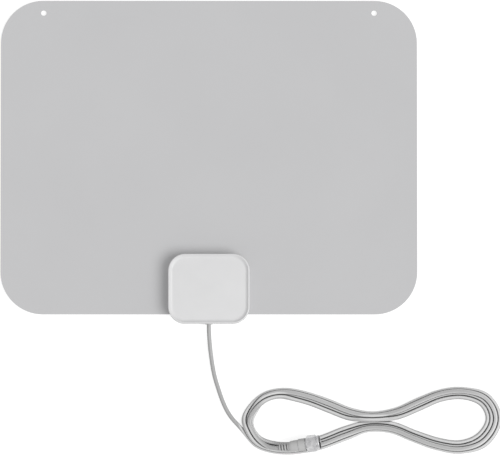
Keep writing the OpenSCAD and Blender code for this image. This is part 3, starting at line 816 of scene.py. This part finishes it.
def nickel_plate():
    """Bright nickel with turning marks and small stains."""
    material = finish("nickel_plate", (0.52, 0.52, 0.525), 0.24, Metallic=1.0)
    mottle(material, [(0.42, 0.42, 0.43), (0.60, 0.60, 0.605)], 420)
    grain(material, 3000, 0.1, 0.00002)
    wear(material, 700, 0.18, 0.34)
    return material


def painted_shade_bore():
    """The nut's bore and thread, coloured near black as painted shade for the depth of the bore."""
    material = finish("painted_shade_bore", grey(0.14), 0.45, Metallic=0.9)
    mottle(material, [grey(0.10), grey(0.18)], 900)
    grain(material, 3000, 0.2, 0.00002)
    return material


def plated_steel():
    """Zinc-plated steel of the screws and the clamp, slightly cloudy."""
    material = finish("plated_steel", (0.62, 0.62, 0.63), 0.32, Metallic=1.0)
    mottle(material, [(0.57, 0.57, 0.58), (0.66, 0.66, 0.66)], 500)
    grain(material, 2500, 0.1, 0.00002)
    return material


def rolled_foil():
    """Rolled foil: bright, with streaks along the roll."""
    material = finish("rolled_foil", (0.82, 0.83, 0.84), 0.3, Metallic=1.0)
    grain(material, 160, 0.12, 0.00003, stretch=(1, 12, 1))
    wear(material, 60, 0.24, 0.4)
    return material


def solder_mask():
    """Green circuit board with darker glass weave under the mask."""
    material = finish("solder_mask", (0.03, 0.16, 0.07), 0.3)
    mottle(material, [(0.022, 0.13, 0.055), (0.04, 0.19, 0.085)], 900, detail=1)
    grain(material, 1500, 0.1, 0.00003)
    return material


def sintered_ferrite():
    """Near-black ferrite with the rough skin of pressed powder."""
    material = finish("sintered_ferrite", (0.05, 0.05, 0.055), 0.6)
    mottle(material, [(0.04, 0.04, 0.045), (0.075, 0.072, 0.072)], 1400)
    grain(material, 3500, 0.3, 0.00004)
    return material


def copper_wire():
    """Enamelled copper, whose tone drifts along the wire."""
    material = finish("copper_wire", (0.72, 0.33, 0.18), 0.28, Metallic=1.0)
    mottle(material, [(0.66, 0.28, 0.14), (0.78, 0.40, 0.24)], 900)
    return material


def fired_ceramic():
    """Brown ceramic of the capacitors, speckled by firing."""
    material = finish("fired_ceramic", (0.46, 0.36, 0.24), 0.45)
    mottle(material, [(0.40, 0.31, 0.20), (0.52, 0.42, 0.29)], 1800)
    return material


def spring_brass():
    """Brass strip with rolling marks along it."""
    material = finish("spring_brass", (0.80, 0.62, 0.32), 0.25, Metallic=1.0)
    grain(material, 400, 0.1, 0.00002, stretch=(12, 1, 1))
    wear(material, 500, 0.2, 0.34)
    return material


def white_dielectric():
    """White foamed plastic round the lead's conductor."""
    material = finish("white_dielectric", (0.86, 0.86, 0.84), 0.4)
    mottle(material, [(0.83, 0.83, 0.81), (0.89, 0.89, 0.87)], 900)
    return material


def dress(names, material):
    """Gives CAD nodes a finish in place of their plain one."""
    for name in names:
        node[name].data.materials.clear()
        node[name].data.materials.append(material)


shell = moulded_shell()
nickel = nickel_plate()
dress(["front_film", "rear_film"], matte_film())
dress(["pod_rear_cover"], shell)
dress(["radiator_left", "radiator_right", "lead_braid"], rolled_foil())
dress(["pod_screws", "cable_clamp", "clamp_screws"], plated_steel())
dress(["circuit_board"], solder_mask())
dress(["balun_core"], sintered_ferrite())
dress(["balun_primary", "balun_secondary", "lead_conductor"], copper_wire())
dress(["chip_capacitors"], fired_ceramic())
dress(["feed_contact_left", "feed_contact_right"], spring_brass())
dress(["lead_dielectric", "plug_insulator"], white_dielectric())
dress(["plug_ferrule", "plug_post", "plug_pin"], nickel)
dress(["cable_grommet"], moulded_rubber("grommet_rubber"))

nut = screw_nut(nickel, painted_shade_bore())
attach(nut, "nut")
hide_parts("coupling_nut")

cover = front_cover()
cover.data.materials.clear()
cover.data.materials.append(shell)
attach(cover, "antenna")
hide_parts("pod_front_cover")

sleeve = boot_shell()
sleeve.data.materials.append(grooved_rubber())
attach(sleeve, "antenna")
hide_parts("plug_boot")

path = lead_path()
lead = tube("lead", path, LEAD_D / 2 * MM)
lead.data.materials.append(soft_jacket())
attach(lead, "antenna")
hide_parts("cord_lead", "cord_hank", "cord_tail")


# Stage

FLOOR_HALF = 3.0
FLOOR_Z = -0.0001
TABLE_TONE = 0.4
TABLE_GLOW = 0.78
FILL_LIGHT = 0.58


def background_rays(nodes, links):
    """1 on rays from the camera and on those that gloss or a clear piece passes on, and else 0."""
    path_kind = nodes.new("ShaderNodeLightPath")
    seen = path_kind.outputs["Is Camera Ray"]
    for kind in ("Is Glossy Ray", "Is Transmission Ray"):
        either = nodes.new("ShaderNodeMath")
        either.operation = "MAXIMUM"
        links.new(seen, either.inputs[0])
        links.new(path_kind.outputs[kind], either.inputs[1])
        seen = either.outputs["Value"]
    return seen


def floor():
    """Pale table a hair under the antenna. The camera sees it as white where no shadow falls."""
    corners = [[x, y, FLOOR_Z] for x, y in ((-1, -1), (1, -1), (1, 1), (-1, 1))]
    points = np.array(corners) * [FLOOR_HALF, FLOOR_HALF, 1]
    piece = new_piece("floor", points, [[0, 1, 2, 3]], smooth=False)
    material = bpy.data.materials.new("pale_table")
    material.use_nodes = True
    nodes, links = material.node_tree.nodes, material.node_tree.links
    nodes.clear()
    matte = nodes.new("ShaderNodeBsdfDiffuse")
    matte.inputs["Color"].default_value = (*grey(TABLE_TONE), 1)
    glow = nodes.new("ShaderNodeEmission")
    strength = nodes.new("ShaderNodeMath")
    strength.operation = "MULTIPLY"
    strength.inputs[1].default_value = TABLE_GLOW
    both = nodes.new("ShaderNodeAddShader")
    result = nodes.new("ShaderNodeOutputMaterial")
    links.new(background_rays(nodes, links), strength.inputs[0])
    links.new(strength.outputs["Value"], glow.inputs["Strength"])
    links.new(matte.outputs["BSDF"], both.inputs[0])
    links.new(glow.outputs["Emission"], both.inputs[1])
    links.new(both.outputs["Shader"], result.inputs["Surface"])
    piece.data.materials.append(material)


def sun(name, azimuth, elevation, width, level):
    """Distant soft lamp, its azimuth from +X towards +Y, that lights a level surface by a given share."""
    data = bpy.data.lights.new(name, "SUN")
    data.angle = math.radians(width)
    data.energy = level * math.pi / math.sin(math.radians(elevation))
    light = bpy.data.objects.new(name, data)
    light.rotation_euler = (0, math.radians(90 - elevation), math.radians(azimuth))
    bpy.context.scene.collection.objects.link(light)


def daylight():
    """White world: full strength to the camera and to mirror-like surfaces, a soft fill to the rest."""
    world = bpy.data.worlds.new("daylight")
    bpy.context.scene.world = world
    world.use_nodes = True
    nodes, links = world.node_tree.nodes, world.node_tree.links
    strength = nodes.new("ShaderNodeMapRange")
    strength.inputs["To Min"].default_value = FILL_LIGHT
    strength.inputs["To Max"].default_value = 1.0
    links.new(background_rays(nodes, links), strength.inputs["Value"])
    links.new(strength.outputs["Result"], nodes["Background"].inputs["Strength"])
    nodes["Background"].inputs["Color"].default_value = (1, 1, 1, 1)


floor()
sun("key", azimuth=-24, elevation=53, width=40, level=0.4)
daylight()
bpy.context.scene.view_settings.view_transform = "Standard"
